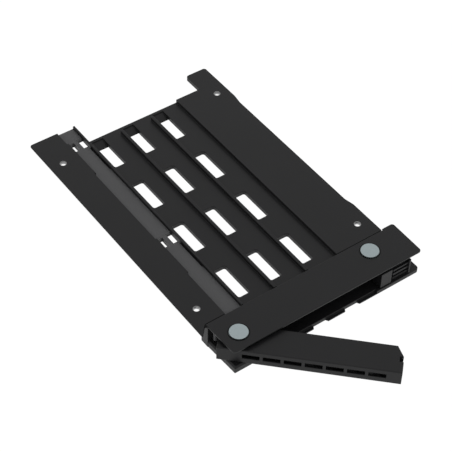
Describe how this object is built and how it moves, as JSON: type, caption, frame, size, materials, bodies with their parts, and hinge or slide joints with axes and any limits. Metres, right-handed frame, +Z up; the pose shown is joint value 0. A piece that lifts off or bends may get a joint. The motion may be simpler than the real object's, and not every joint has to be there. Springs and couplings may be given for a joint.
{
  "type": "hot swap drive caddy",
  "caption": "Flat slotted tray for a small drive, with a light guide along one side and a front housing that holds a swinging lever and a press latch.",
  "frame": {"origin": "middle of the four drive screw holes, on the plane that the drive seats on", "axes": "+X to the latch side, +Y to the rear end that enters the bay, +Z up out of the drive seat"},
  "size_m": [0.0756, 0.1434, 0.0099],
  "materials": {
    "black_moulding": "fine matt moulded",
    "grey_guide": "satin, slightly translucent",
    "plated_steel": "plated",
    "pin_steel": "satin plated",
    "spring_steel": "bare"
  },
  "bodies": {
    "carrier": {"carrier_tray": "black_moulding", "screw_sleeves": "plated_steel", "light_guide": "grey_guide", "top_cover": "black_moulding", "lever_pin": "pin_steel", "lever_pin_clip": "spring_steel", "latch_pin": "pin_steel", "latch_pin_clip": "spring_steel", "lever_spring": "spring_steel", "latch_spring": "spring_steel"},
    "lever": {"lever": "black_moulding"},
    "latch": {"latch": "black_moulding"}
  },
  "joints": [
    {"name": "lever_hinge", "type": "hinge", "parent": "carrier", "child": "lever", "pos_m": [-0.026, -0.053, 0], "axis": [0, 0, 1], "range_deg": [0, 45], "stiffness_Nm_per_rad": 0.01, "springref_deg": -17.19, "deforming": ["lever_spring"]},
    {"name": "latch_hinge", "type": "hinge", "parent": "carrier", "child": "latch", "pos_m": [0.0264, -0.0498, 0], "axis": [0, 0, 1], "range_deg": [0, 10], "stiffness_Nm_per_rad": 0.02, "springref_deg": -11.46, "deforming": ["latch_spring"]}
  ]
}
